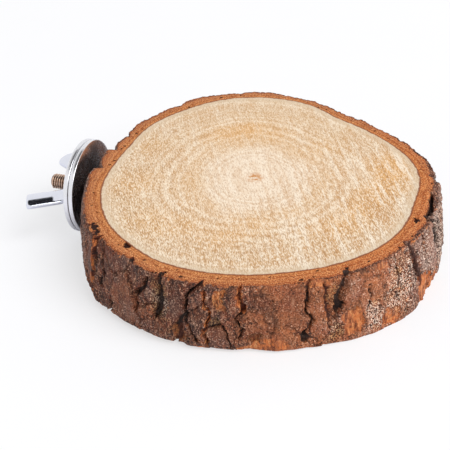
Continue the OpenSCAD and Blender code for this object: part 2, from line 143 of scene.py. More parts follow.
# Pits in the sawn ring: x, y and radius in millimetres
PITS = [
    (-25, -43.5, 1.2), (-25.4, -42.3, 1), (-38.5, -36, 1.2), (-36.5, -38.5, 1), (-39.6, -34.4, 0.7),
    (-38.1, -37.2, 0.9), (-39.3, -36.5, 0.5), (-37, -37.5, 0.5), (-36.7, -39.8, 0.8), (-36.3, -40.9, 0.6),
    (-40.3, -35.3, 0.4), (-38.6, -34.1, 0.4), (-22.5, -50, 0.7), (-21.6, -51.2, 1), (-20.8, -50.4, 0.5),
    (-13.4, -54.4, 0.8), (-12, -53.8, 0.5), (-10.4, -54.4, 1.1), (-9.6, -53.2, 0.6), (1.7, -56, 1.1),
    (1.9, -54.8, 0.6), (-4.5, -54, 0.6), (12.6, -54.8, 0.8), (51, -10, 1), (50.2, -9, 0.5),
    (38, -38.6, 0.6), (27.6, -47, 0.6),
]
SMALL_PITS = 60
# The gap between the ring and the crumbled edge: x, y and half width in millimetres, and its depth
RIFT = [(51.9, 6.2, 0.2), (52.2, 4.6, 0.4), (53, 0, 0.5), (53.4, -3, 0.6), (53.6, -5.6, 0.9), (55, -8, 1.3)]
RIFT_DEPTH = 2
# Where most of it has crumbled, how far the rim lies lower and the side stands back
WORN_DROP = 2
WORN_RECESS = 1.2

# Tan stains on the sawn wood: x, y and spread in millimetres, strength
STAINS = [
    (35, 22, 6, 0.7), (37, 14, 7, 0.9), (38, 4, 7, 0.8), (35, -6, 6, 0.7), (33, -16, 6, 0.6),
    (28, -23, 6, 0.5), (-14, 31, 6, 0.7), (-22, 26, 7, 0.5), (-4, 31, 6, 0.4), (14, 26, 7, 0.3),
    (0, -33, 6, 0.5), (6, -25, 6, 0.35), (-13, -32, 8, 0.4), (-23, -27, 7, 0.4), (-36, -9, 8, 0.5),
    (-40, 12, 9, 0.3),
]

# Fissures round the back, hidden in the photograph: azimuth at half height, lean in degrees, then
# shares of the half width and of the depth, and the stretch of the height, as in the CAD source
BACK_FISSURES = [
    (8, -2, 0.8, 0.9, 0, 1), (17, 3, 1, 0.8, 0.1, 1), (27, -4, 1.1, 0.9, 0, 0.7), (38, 2, 0.9, 0.8, 0.2, 1),
    (47, -3, 1.2, 0.9, 0, 1), (58, 4, 0.9, 0.7, 0, 0.8), (68, 1, 1.1, 0.9, 0.1, 1), (80, -5, 1, 0.8, 0, 1),
    (91, 3, 1.3, 0.9, 0, 0.9), (101, -2, 0.9, 0.8, 0.3, 1), (112, 4, 1.1, 0.9, 0, 1),
    (124, -3, 1, 0.8, 0, 0.7), (134, 2, 1.2, 0.9, 0.1, 1), (146, -4, 0.9, 0.8, 0, 1),
    (158, 3, 1, 0.7, 0, 1), (204, 2, 0.9, 0.5, 0, 0.8),
]
FISSURE_DEPTH = 2.3
FISSURE_W = 1.3
FISSURE_WAVER = 0.6
PLATE_DEPTH = 0.5
# Waves by which the fissures waver and by which plates stand at different heights: how many round
# the slice, a phase in degrees, a twist in degrees over the height and a share, as in the source
WAVER_SHARES = [(5, 0, 620, 0.6), (-9, 0, 1000, 0.4)]
PLATE_SHARES = [(11, 40, 30, 0.45), (17, 115, -60, 0.35), (29, 250, 80, 0.2)]

# Patches of the bark's side: azimuth, share of the height, half width and half height in
# millimetres, depth in millimetres, then how raw (orange), gritty and dark each is. The dark is
# painted shade, strongest in the deep recesses and scars
PATCHES = [
    (231.5, 0.96, 1.5, 2.1, 0.4, 0.2, 0, 0.2), (228.1, 0.88, 0.6, 3, 0, 1, 0, 0),
    (227.8, 0.58, 0.6, 3.6, 0, 1, 0, 0), (226.1, 0.28, 0.7, 3.6, 0, 1, 0, 0),
    (228.6, 0.74, 0.5, 2.4, 0.3, 0, 0, 1), (228.5, 0.97, 0.5, 0.9, 0.3, 0, 0, 1),
    (227, 0.34, 0.6, 2.6, 0.3, 0, 0, 1), (232.4, 0.39, 1.3, 1.6, 1.3, 0, 0, 1),
    (234.6, 0.6, 0.5, 1.4, 0.8, 0, 0, 1), (237, 0.13, 0.8, 1.8, 1, 0, 0, 1),
    (222, 0.08, 1.4, 1.6, 0.6, 1, 0, 0), (247, 1, 0.9, 0.9, 0.9, 0, 0, 0.9),
    (258.5, 0.62, 2.4, 6, 0.3, 0.2, 0.8, 0.3), (263.5, 0.14, 2.6, 3, 0.5, 0.5, 0.5, 0.4),
    (277.2, 0.8, 1.7, 3.6, 0.7, 0.65, 0.4, 0.1), (275.5, 0.45, 1.8, 1.6, 0.4, 0, 0.8, 0.4),
    (283.4, 0.67, 0.9, 1, 1.8, 0, 0, 1), (287, 0.2, 1.7, 1.9, 0.9, 0.6, 0.5, 0.45),
    (284, 0.02, 3.5, 1, 0.3, 0.8, 0.2, 0), (300.5, 0.17, 0.9, 1.4, 1, 0, 0.3, 1),
    (304.5, 0.96, 3.4, 1.1, 0.5, 0.9, 0.2, 0.1), (308.5, 0.78, 1.5, 3, 0.4, 0.5, 0.7, 0.3),
    (310.2, 0.56, 1.3, 1.5, 2.1, 0, 0, 1), (309.5, 0.2, 1.8, 3.4, 0.4, 0.2, 0.9, 0.1),
    (314.6, 0.3, 3, 4.2, 0.9, 1, 0.1, 0), (321, 0.32, 2.2, 5, 0.3, 0.2, 0.9, 0),
    (327, 0.16, 3, 2.6, 0.8, 1, 0, 0), (325.5, 0.95, 2.6, 1.6, 0.7, 0.9, 0.2, 0.2),
    (331, 0.55, 5, 8.5, 0.2, 0.35, 0.85, 0), (334.2, 0.86, 0.9, 2.4, 0.2, 0, 1, 0),
    (343.5, 0.2, 4.2, 5, 0.7, 0.9, 0.1, 0), (351.5, 0.1, 5.5, 5, 1.3, 0.85, 0.1, 0),
    (344, 0.7, 3.6, 5.5, 0, 0, 0.5, 0), (358, 0.55, 6, 9, 0, 0, 0.6, 0),
    (354, 0.76, 2.3, 4.6, 2, 0, 0.3, 0.8), (356, 0.5, 1.5, 3.6, 1.6, 0, 0.3, 0.8),
    (291, 0.07, 5, 3.2, 0.1, 0.6, 0, 0),
]
# Chips of the hidden side as in the source: azimuth, share of the height, then half width, half
# height and depth in millimetres
BACK_CHIPS = [
    (13, 0.3, 3, 3.9, 0.8), (22, 0.8, 2.7, 3, 0.6), (33, 0.12, 3.9, 2.4, 0.9), (43, 0.6, 2.1, 4.8, 0.7),
    (53, 0.3, 3, 3, 1), (63, 0.75, 3.6, 3.6, 0.6), (74, 0.4, 3, 4.5, 0.8), (86, 0.1, 4.5, 2.7, 1),
    (96, 0.6, 2.4, 3.6, 0.7), (107, 0.25, 3.3, 4.2, 0.8), (118, 0.7, 3.6, 3, 0.9),
    (129, 0.35, 2.4, 3.9, 0.7), (140, 0.15, 4.2, 3, 1), (152, 0.5, 2.7, 4.5, 0.7),
    (163, 0.12, 3.3, 2.4, 0.6), (199, 0.3, 2.7, 3, 0.6), (210, 0.45, 3, 4.5, 0.8),
]
BACK_PATCHES = 14

# Smooth plates: azimuth, share of the height, half width and half height in millimetres
SMOOTH_PLATES = [
    (240, 0.74, 6, 6.5), (246, 0.3, 5, 5), (263, 0.66, 3, 6), (293.5, 0.68, 7, 8), (292, 0.28, 6, 4.5),
    (318, 0.7, 6.2, 6.5), (345, 0.72, 4.6, 6), (226, 0.4, 2.5, 8), (277, 0.25, 3, 4), (305, 0.5, 2.5, 8),
    (30, 0.6, 5, 8), (62, 0.4, 6, 7), (95, 0.65, 5, 6), (118, 0.4, 6, 8), (152, 0.6, 5, 7),
    (205, 0.5, 5, 8),
]

# Relief of the outer bark in millimetres
FLAKE_RELIEF = 0.34
SCALE_RELIEF = 0.2
SWELL_RELIEF = 0.35
GRIT_RELIEF = 0.5
SEAM_DEPTH = 0.35
# Steps of the rim beside the washer: azimuth and reach in degrees. The bark stands out past a step
# and in before it
RIM_STEPS = [(171, 13), (184.2, 10)]
STEP_OUT, STEP_IN = 1.6, 1.9
PIT_DEPTH = 0.6

# Points round the slice, and rows of them over the outer bark's side, sawn top and underside
COLUMNS = 1080
SIDE_ROWS = 74
TOP_ROWS = 10
UNDER_ROWS = 5
INNER_ROWS = 10
WOOD_COLUMNS, WOOD_ROWS = 360, 56
# Mean radius, and the millimetres of arc that a degree is there
MEAN_R = 56
ARC = math.radians(1) * MEAN_R


def smooth_at(table, azimuth):
    """The table read as a smooth closed curve, as the CAD source reads it."""
    t = np.array(table)
    n = len(t)
    u = (np.asarray(azimuth) % 360) * n / 360
    i = np.floor(u).astype(int)
    f = u - i
    a, b, c, d = t[(i - 1) % n], t[i % n], t[(i + 1) % n], t[(i + 2) % n]
    return b + f * ((c - a) + f * ((2 * a - 5 * b + 4 * c - d) + f * (3 * (b - c) + d - a))) / 2


def sawn_r(azimuth, bark=BARK_T):
    """Radius of the sawn slice with its bark, or with the inner part of that thickness or none."""
    return WOOD_R * smooth_at(WOOD_SHARES, azimuth) + bark * smooth_at(BARK_SHARES, azimuth)


def near_bolt(azimuth, z):
    """How near the bolt's axis each point of the side is, 1 on the axis."""
    along = sawn_r(180) * np.sin(np.radians(azimuth)) + bolt_y
    near = np.exp(-((along / SEAT_SPREAD) ** 2) - ((z - bolt_z) / SEAT_SPREAD_Z) ** 2)
    return np.where(np.cos(np.radians(azimuth)) > 0, 0, near)


def waves(table, azimuth, share):
    return sum(k * np.sin(np.radians(n * azimuth + phase + twist * share)) for n, phase, twist, k in table)


def turn(start, azimuth):
    """Shortest way round from start to azimuth, in degrees."""
    return (azimuth - start + 540) % 360 - 180


def ramp(start, end, value):
    """0 where value is start and 1 where it is end, with a soft change between them."""
    t = np.clip((value - start) / (end - start), 0, 1)
    return t * t * (3 - 2 * t)


def whole_turn(columns):
    """The azimuth of each of so many columns."""
    return np.arange(columns) * 360 / columns


def around(azimuth, radius, z):
    """Points on rings, in millimetres."""
    a = np.radians(azimuth)
    return np.stack(np.broadcast_arrays(radius * np.cos(a), radius * np.sin(a), z), -1)


def fractal(points, size, octaves=4, stretch=1.0, shift=0.0):
    """Soft noise of about -1 to 1 at each point. Its grain is size millimetres, and stretch times
    that along Z."""
    flat = points.reshape(-1, 3) / [size, size, size * stretch] + shift
    values = [noise.fractal(Vector(p), 1.0, 2.0, octaves) for p in flat.tolist()]
    return np.array(values).reshape(points.shape[:-1])


def cells(points, size, stretch=1.0, shift=0.0):
    """Cracks between cells, 0 on a crack to about 1 inside, and a random share for each cell."""
    flat = points.reshape(-1, 3) / [size, size, size * stretch] + shift
    found = [noise.voronoi(Vector(p)) for p in flat.tolist()]
    gaps = np.array([d[1] - d[0] for d, _ in found])
    shares = np.array([noise.cell(near[0] * 7.3) for _, near in found])
    return gaps.reshape(points.shape[:-1]), shares.reshape(points.shape[:-1])


# Meshes
def placed(name, data):
    """A new object in the scene, from a mesh, a lamp or a camera."""
    thing = bpy.data.objects.new(name, data)
    bpy.context.scene.collection.objects.link(thing)
    return thing


def loose_mesh(name, points, faces):
    """An object from points in millimetres."""
    mesh = bpy.data.meshes.new(name)
    mesh.from_pydata((np.asarray(points) * MM).tolist(), [], faces)
    mesh.update()
    return placed(name, mesh)


def mesh_piece(name, skin, material, body, node, attributes=None, sharp=50):
    """A piece from a skin's points and faces. It rides on a body and stands for a CAD node."""
    piece = loose_mesh(name, *skin)
    mesh = piece.data
    for key, values in (attributes or {}).items():
        mesh.attributes.new(key, "FLOAT", "POINT").data.foreach_set("value", values)
    mesh.polygons.foreach_set("use_smooth", [True] * len(mesh.polygons))
    mesh.set_sharp_from_angle(angle=math.radians(sharp))
    mesh.materials.append(material)
    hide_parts(node)
    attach(piece, body)


def closed_skin(rings, poles=None):
    """Points and faces of a closed skin over rings (rows, columns, 3). Without poles the last ring
    joins the first. With them, each end closes on its own pole."""
    rows, columns = rings.shape[:2]
    points = rings.reshape(-1, 3)
    after = [(k + 1) % columns for k in range(columns)]
    faces = []
    for j in range(rows if poles is None else rows - 1):
        low, high = j * columns, (j + 1) % rows * columns
        faces += [(low + k, low + n, high + n, high + k) for k, n in enumerate(after)]
    if poles is not None:
        low, high, last = len(points), len(points) + 1, (rows - 1) * columns
        points = np.vstack([points, poles])
        faces += [(low, n, k) for k, n in enumerate(after)]
        faces += [(high, last + k, last + n) for k, n in enumerate(after)]
    return points, faces


def on_bolt(points, faces, at=0.0):
    """A skin modelled along +Z placed on the bolt's axis, outward along -X from the seat."""
    x, y, z = np.moveaxis(np.asarray(points, float), -1, 0)
    return np.stack([-seat_x - at - z, bolt_y + y, bolt_z + x], -1), faces


# Outer bark
def near_path(x, y, path):
    """Distance from a path over its half width there, 0 on the path and 1 at its edge."""
    best = np.full(x.shape, 9.0)
    for (x0, y0, w0), (x1, y1, w1) in zip(path, path[1:]):
        run, rise = x1 - x0, y1 - y0
        t = np.clip(((x - x0) * run + (y - y0) * rise) / (run * run + rise * rise), 0, 1)
        gap = np.hypot(x - x0 - t * run, y - y0 - t * rise)
        best = np.minimum(best, gap / (w0 + t * (w1 - w0)))
    return best


def back_paths(rng):
    """The hidden fissures as paths, some of them lined with orange inner bark."""
    paths = []
    for azimuth, lean, width, depth, low, high in BACK_FISSURES:
        path = [(azimuth + lean * (s - 0.5), s, FISSURE_W * width) for s in (low, high)]
        paths.append((FISSURE_DEPTH * depth, rng.choice([0, 0, 0.2, 0.8]), path))
    return paths


def back_patches(rng):
    """Chips and gritty patches for the hidden side."""
    kinds = [(0.9, 0.1), (0.2, 0.8), (0, 0.7), (0.5, 0.4)]
    patches = [(*chip, *rng.choice(kinds), 0.1) for chip in BACK_CHIPS]
    for k in range(BACK_PATCHES):
        azimuth = 12 + 198 * (k + rng.uniform(0.1, 0.9)) / BACK_PATCHES
        share = rng.choice([0.06, 0.3, 0.5, 0.7, 0.95])
        half_w, half_h = rng.uniform(1.5, 3), rng.uniform(1.5, 4)
        patches.append((azimuth, share, half_w, half_h, 0.2, *rng.choice(kinds), 0.1))
    return patches


def crumbled(azimuth):
    """How far the edge has crumbled away, 0 to 1."""
    return ramp(0.45, 0.72, smooth_at(WORN_SHARES, azimuth))


def bark_side(azimuth, share):
    """Radius of the outer bark's side, with the masks that its material reads."""
    rng = random.Random(5)
    z = share * slice_h
    near = near_bolt(azimuth, z)
    calm = 1 - near
    # The side before fissures and plates
    swell = SIDE_SWELL * 4 * share * (1 - share)
    foot = BARK_LEAN * (1 - share) * smooth_at(FOOT_SHARES, azimuth)
    plain = sawn_r(azimuth) + swell + foot + SEAT_SWELL * near
    points = around(azimuth, plain, z)
    ragged = fractal(points, 1.6, 4)
    wander = FISSURE_WAVER * waves(WAVER_SHARES, azimuth, share) + 0.4 * fractal(points, 3, 2, shift=7)
    bent = azimuth + (wander + 0.7 * ragged) / ARC
    lifted = z + 0.8 * fractal(points, 4, 3, shift=31) + 0.4 * ragged

    def offset(where, level, half_w, half_h):
        """How far each point is from a place, across over half_w and up over half_h."""
        return turn(where, bent) * ARC / half_w, (lifted - level * slice_h) / half_h

    sunk, crack, raw, grit, even = (np.zeros_like(plain) for _ in range(5))
    for depth, orange, path in SEEN_FISSURES + back_paths(rng):
        start = path[0][0]
        line = [(turn(start, at) * ARC, level * slice_h, half_w) for at, level, half_w in path]
        d = near_path(turn(start, bent) * ARC, lifted, line)
        sunk = np.maximum(sunk, depth * ramp(1.15, 0.5, d))
        # The crack mask paints shade into each fissure, less where its lining is orange
        crack = np.maximum(crack, ramp(0.85 - 0.45 * orange, 0.3 - 0.2 * orange, d))
        raw = np.maximum(raw, orange * ramp(1.7, 1.0, d))
    for *place, depth, rawness, gritty, dark in PATCHES + back_patches(rng):
        x, y = offset(*place)
        spread = (np.abs(x) ** 3 + np.abs(y) ** 3) ** (1 / 3) + 0.3 * ragged
        inside = ramp(1.1, 0.9, spread)
        sunk = np.maximum(sunk, depth * inside)
        # Painted shade of each patch, through the crack mask
        crack = np.maximum(crack, dark * inside)
        raw = np.maximum(raw, rawness * inside)
        grit = np.maximum(grit, gritty * ramp(1.4, 0.7, spread))
    for place in SMOOTH_PLATES:
        x, y = offset(*place)
        even = np.maximum(even, ramp(1.15, 0.8, (x**4 + y**4) ** 0.25 + 0.2 * ragged))

    gaps, plate = cells(points + 1.5 * ragged[..., None], 11, 1.6)
    seam = ramp(0.05, 0.01, gaps)
    scales, _ = cells(points + 0.8 * ragged[..., None], 3.2, 1.8, shift=4)
    flakes = fractal(points, 1.1, 4, stretch=3.5, shift=11)
    sunk = np.maximum(sunk, SEAM_DEPTH * seam)
    crack = np.maximum(crack, 0.4 * seam)
    relief = PLATE_DEPTH * waves(PLATE_SHARES, azimuth, share) + 0.4 * (plate - 0.5)
    rough = (1 - 0.75 * even) * ramp(-0.04, 0.12, share)
    relief += rough * (FLAKE_RELIEF * flakes + SCALE_RELIEF * ramp(0, 0.25, scales))
    relief -= WORN_RECESS * crumbled(azimuth)
    relief += SWELL_RELIEF * fractal(points, 6, 2, stretch=2, shift=19)
    relief -= GRIT_RELIEF * grit * ramp(-0.1, 0.6, fractal(points, 0.9, 2, shift=3))
    hidden = ramp(22, 36, azimuth) * ramp(172, 150, azimuth)
    sunk = sunk * (1 - 0.75 * hidden * ramp(0.72, 0.95, share))
    relief -= sunk * (1 + 0.25 * ragged)

    # The sawn edges are chipped, and the chips show orange
    edge = np.minimum(z, slice_h - z)
    chip = ramp(0.9 + 1.2 * ragged, 0.1, edge)
    relief -= (0.2 + 0.3 * ramp(0.3, 0.7, share)) * chip * (0.6 + 0.6 * ragged)
    raw = np.maximum(raw, 0.8 * chip * ramp(0, 0.4, fractal(points, 3, 2, shift=51)))

    for start, reach in RIM_STEPS:
        past = turn(start, azimuth)
        beyond = STEP_OUT * ramp(0, 0.6, past) * np.clip(1 - past / reach, 0, 1)
        before = STEP_IN * ramp(-5, 0, past) * (past < 0)
        relief += (beyond - before) * ramp(0.72, 0.9, share)

    # Tone, partly painted light: lighter towards the lamp's side round the front
    tone_and_light = smooth_at(TONE_AND_LIGHT_SHARES, azimuth) + 0.3 * (plate - 0.5) + 0.2 * fractal(points, 5, 2, shift=23)
    ash = smooth_at(ASH_SHARES, azimuth) + 0.3 * fractal(points, 7, 3, shift=41)
    radius = np.maximum(sawn_r(azimuth, INNER_BARK_T) + 0.5, plain + calm * relief)
    # Painted shade: the bark round the washer seat is darkened through the crack mask, as in the washer's
    # shadow
    painted_seat_shade = 0.7 * ramp(20, 13, np.abs(turn(180, azimuth))) * ramp(1, 0.93, share)
    masks = {"crack": np.maximum(crack, painted_seat_shade), "raw": raw * calm, "grit": grit}
    return radius, {**masks, "tone_and_light": tone_and_light, "ash": ash, "even": even}


def pitted(points):
    """How deep in a pit of the sawn ring each point is, 0 to 1."""
    rng = random.Random(11)
    pits = list(PITS)
    for k in range(SMALL_PITS):
        at = 360 * (k + rng.random()) / SMALL_PITS
        r = sawn_r(at, 0) + rng.uniform(0.1, 0.9) * (sawn_r(at) - sawn_r(at, 0))
        pits.append((r * math.cos(math.radians(at)), r * math.sin(math.radians(at)), rng.uniform(0.25, 0.5)))
    depth = np.zeros(points.shape[:-1])
    ragged = fractal(points, 0.8, 3, shift=13)
    for x, y, r in pits:
        away = np.hypot(points[..., 0] - x, points[..., 1] - y) / r
        depth = np.maximum(depth, ramp(1.1, 0.6, away + 0.3 * ragged))
    return depth


def make_outer_bark(material):
    """Underside, side and sawn top as one closed skin, with the masks that its material reads."""
    azimuth = whole_turn(COLUMNS)
    share = np.linspace(0, 1, SIDE_ROWS)[:, None]
    radius, masks = bark_side(azimuth[None, :] + 0 * share, share + 0 * azimuth)
    worn = smooth_at(WORN_SHARES, azimuth)
    drop = 0.6 * worn + WORN_DROP * crumbled(azimuth)
    lowered = share * slice_h - drop * ramp(0.8, 1, share)
    side = around(azimuth, radius, lowered)
    # The washer has crushed the bark flat where the bolt enters
    side[..., 0] = np.maximum(side[..., 0], -seat_x)

    inner = sawn_r(azimuth, INNER_BARK_T)
    across = np.linspace(0, 1, TOP_ROWS + 1)[1:, None]
    top = side[-1] + across[..., None] * (around(azimuth, inner, slice_h) - side[-1])
    fibres = fractal(top, 0.9, 3)
    worn = worn + 0.1 * fractal(top[0], 5, 3, shift=17)
    weathered = ramp(-0.04, 0.06, worn - across + 0.12 * fibres)
    pit = pitted(top)
    top[..., 2] = slice_h - (1 - across) * 0.25 * (0.5 + 0.5 * fibres) - 0.06 * np.abs(fibres)
    slope = np.clip(1 - across / np.maximum(worn, 0.05), 0, 1)
    away = near_path(top[..., 0], top[..., 1], RIFT)
    rift = ramp(1.3, 0.8, away + 0.5 * fractal(top, 1.2, 3, shift=29))
    top[..., 2] -= drop * slope + weathered * (0.15 + 0.25 * fibres) + PIT_DEPTH * pit
    top[:-1, :, 2] -= RIFT_DEPTH * rift[:-1]
    top[-1, :, 2] = slice_h

    below = np.linspace(0, 1, UNDER_ROWS)[:-1, None]
    inside = around(azimuth, inner, 0.0)
    under = inside + below[..., None] * (side[0] - inside)
    under[..., 2] = 0
    rings = [under, side, top]

    def each(*values):
        """One value for each point, from those of the underside, the side and the top."""
        spread = [np.broadcast_to(value, ring.shape[:2]) for value, ring in zip(values, rings)]
        return np.concatenate(spread).ravel()

    attributes = {key: each(0, values, 0) for key, values in masks.items()}
    attributes["sawn"] = each(1, 0, 1 - weathered)
    attributes["rim"] = each(below, 1, 1 - across)
    # The pits and the rift are painted nearly black in the materials, as painted shade
    attributes["pit"] = each(0, 0, np.maximum(pit, rift))
    skin = closed_skin(np.concatenate(rings))
    mesh_piece("rough_outer_bark", skin, material, "perch", "outer_bark", attributes)


# Inner bark and wood
def make_inner_bark(material):
    """The ring next to the wood, sawn above and below."""
    azimuth = whole_turn(COLUMNS)
    inner, outer = sawn_r(azimuth, 0), sawn_r(azimuth, INNER_BARK_T)
    across = np.linspace(0, 1, INNER_ROWS)[:, None]
    under = around(azimuth, inner + across * (outer - inner), 0.0)
    top = around(azimuth, outer + across * (inner - outer), slice_h)
    pit = pitted(top)
    top[1:-1, :, 2] -= 0.08 * np.abs(fractal(top[1:-1], 0.8, 3)) + PIT_DEPTH * pit[1:-1]
    top[-2, :, 2] -= 0.05
    edge = np.concatenate([across + 0 * azimuth, 1 - across + 0 * azimuth])
    attributes = {"rim": edge.ravel(), "pit": np.concatenate([0 * pit, pit]).ravel()}
    skin = closed_skin(np.concatenate([under, top]))
    mesh_piece("cut_inner_bark", skin, material, "perch", "inner_bark", attributes)


# The pith, from the middle of the slice, and the way the saw's marks run
PITH = (-1.9, 2.05)
SAW_AZIMUTH = 119


def make_wood(material):
    """The sawn disc, as rings that follow the outline, so that its growth rings do too."""
    azimuth = whole_turn(WOOD_COLUMNS)
    outline = around(azimuth, sawn_r(azimuth, 0), 0.0)
    pith = np.array([*PITH, 0.0])
    share = np.linspace(1 / WOOD_ROWS, 1, WOOD_ROWS)[:, None, None]
    under = pith + share * (outline - pith)
    top = under[::-1].copy()
    top[..., 2] = slice_h
    top[1:, :, 2] -= 0.04 * np.abs(fractal(top[1:], 1.8, 3))
    points, faces = closed_skin(np.concatenate([under, top]), [pith, pith + [0, 0, slice_h]])
    growth = np.repeat(np.concatenate([share[:, 0], share[::-1, 0]]), WOOD_COLUMNS, 1)
    bent = points[:, :2] + 3 * fractal(points, 9, 3)[:, None]
    stain = sum(k * np.exp(-((bent[:, 0] - x) ** 2 + (bent[:, 1] - y) ** 2) / r**2) for x, y, r, k in STAINS)
    attributes = {"growth": np.append(growth.ravel(), [0, 0]), "stain": stain}
    mesh_piece("sawn_wood", (points, faces), material, "perch", "wood_disc", attributes)


# Hardware, in millimetres. A washer's outer face is rolled over, and its other edge is finer
WASHER_HOLE = 5.3
WASHER_ROLL, WASHER_FINE = 0.42, 0.2
WASHER_COLUMNS = 192
# The bolt: machine thread outside, plain shank, then a screw thread with a tapered point. Steps are
# from ring to ring of a thread
BOLT_COLUMNS = 48
MACHINE_STEP, SCREW_STEP = 0.08, 0.2
MACHINE_PITCH, MACHINE_CORE, MACHINE_CREST = 0.8, 1.94, 2.44
SHANK_R, SHANK_LEN = 2.15, 5.0
SCREW_AND_SHANK, SCREW_PITCH, SCREW_CORE, SCREW_CREST = 30.0, 1.8, 1.7, 2.4
POINT_LEN, POINT_CORE, POINT_CREST = 6.0, 0.4, 0.6
# The nut: its hub's radius and height, its bored thread, and the grain at which the casting is fused
HUB_FOOT, HUB_H = 0.02, 5.0
HUB_PROFILE = [
    (2, HUB_FOOT), (5.45, HUB_FOOT), (5.9, 0.4), (5.9, 1.3), (5.55, 1.9), (4.8, 3.6), (4.5, 4.5),
    (4.2, 4.85), (3.7, HUB_H), (2, HUB_H),
]
HUB_COLUMNS = 96
BORE_CREST, BORE_ROOT = 2.55, 2.85
CAST_GRAIN = 0.22
# A wing: width, lean in degrees and corner radius
WING_W, WING_LEAN, WING_CORNER = 7.6, 24, 1.6
# Its faces: half the thickness at the edge, what the arch adds, the rounding's depth, and the arch's
# lean in degrees. They are flat below the first height and fully arched above the second
BLADE_EDGE, BLADE_CROWN, BLADE_SOFT, BLADE_LEAN = 0.75, 0.85, 0.5, 32
ROOT_FLAT, ROOT_FULL = 3.4, 5.6


def lathe(profile, columns):
    """Rings round +Z from a profile of radius and height."""
    r, z = np.transpose(profile)[..., None]
    return around(whole_turn(columns), r, z)


def arc(centre, radius, start, end, steps):
    """Points on an arc of a profile, angles in degrees."""
    angles = np.radians(np.linspace(start, end, steps))
    return [(centre[0] + radius * math.cos(a), centre[1] + radius * math.sin(a)) for a in angles]


def make_washer(name, node, at, material):
    """A stamped washer whose inner face lies at this distance out from the seat."""
    r, hole = washer_d / 2, WASHER_HOLE / 2
    steps = np.linspace(hole + WASHER_FINE, r - WASHER_ROLL, 7)[1:-1]
    high = washer_t - WASHER_ROLL
    profile = [(x, 0) for x in steps]
    profile += arc((r - WASHER_FINE, WASHER_FINE), WASHER_FINE, -90, 0, 5)
    profile += arc((r - WASHER_ROLL, high), WASHER_ROLL, 0, 90, 7)
    profile += [(x, washer_t) for x in steps[::-1]]
    profile += arc((hole + WASHER_ROLL, high), WASHER_ROLL, 90, 180, 6)
    profile += arc((hole + WASHER_FINE, WASHER_FINE), WASHER_FINE, 180, 270, 4)
    skin = on_bolt(*closed_skin(lathe(profile, WASHER_COLUMNS)), at)
    mesh_piece(name, skin, material, node, node, sharp=80)


def thread_phase(z, pitch):
    """How far each point of a ring is from a right-hand thread's crest, 0 to 1. It runs up +Z."""
    return np.abs(2 * ((z / pitch + whole_turn(BOLT_COLUMNS) / 360) % 1) - 1)


def thread_ring(z, core, crest, pitch, land=0.18):
    """Radius round one ring of a thread."""
    return core + (crest - core) * np.clip(1 - thread_phase(z, pitch) * (1 + land) + land / 2, 0, 1)


def thread_root(z, pitch):
    """How deep in the thread's root each point of that ring is, 0 to 1."""
    return ramp(0.3, 0.75, thread_phase(z, pitch))


def round_ring(radius, z):
    """One ring about +Z from the radius of each of its points."""
    return around(whole_turn(BOLT_COLUMNS), radius, z)


def make_bolt(material):
    """The bolt along +Z from the seat. The names that end in _in are depths in the slice."""
    bolt_out = -bolt_lo[0] - seat_x
    bolt_in = bolt_hi[0] + seat_x
    machine_in = bolt_in - SCREW_AND_SHANK
    shank_in = machine_in + SHANK_LEN
    rings = []
    for z in np.arange(-bolt_in, -shank_in, SCREW_STEP):
        taper = ramp(0, POINT_LEN, z + bolt_in) ** 0.7
        core = POINT_CORE + (SCREW_CORE - POINT_CORE) * taper
        crest = POINT_CREST + (SCREW_CREST - POINT_CREST) * taper
        rings.append((z, thread_ring(z, core, crest, SCREW_PITCH, 0.1), thread_root(z, SCREW_PITCH)))
    for z in np.linspace(-shank_in, -machine_in, 6):
        rings.append((z, np.full(BOLT_COLUMNS, SHANK_R), np.zeros(BOLT_COLUMNS)))
    for z in np.arange(-machine_in + SCREW_STEP, bolt_out, MACHINE_STEP):
        ends = ramp(0, 0.8, z + machine_in) * ramp(0, 0.5, bolt_out - z)
        core = MACHINE_CORE - 0.2 * (1 - ramp(0, 0.3, bolt_out - z))
        crest = core + (MACHINE_CREST - MACHINE_CORE) * ends
        root = ends * thread_root(z, MACHINE_PITCH)
        rings.append((z, thread_ring(z, core, crest, MACHINE_PITCH), root))
    body = np.array([round_ring(r, z) for z, r, _ in rings])
    skin = on_bolt(*closed_skin(body, [[0, 0, -bolt_in], [0, 0, bolt_out]]))
    # The roots' depths, which the material paints as shade
    roots = {"root": np.append(np.concatenate([root for _, _, root in rings]), [0, 0])}
    mesh_piece("threaded_bolt", skin, material, "perch", "hanger_bolt", roots, sharp=70)


def evenly(outline, count):
    """The closed outline as evenly spaced points."""
    closed = np.vstack([outline, outline[:1]])
    run = np.concatenate([[0], np.cumsum(np.hypot(*np.diff(closed, axis=0).T))])
    at = np.linspace(0, run[-1], count, endpoint=False)
    return np.stack([np.interp(at, run, closed[:, k]) for k in (0, 1)], -1)


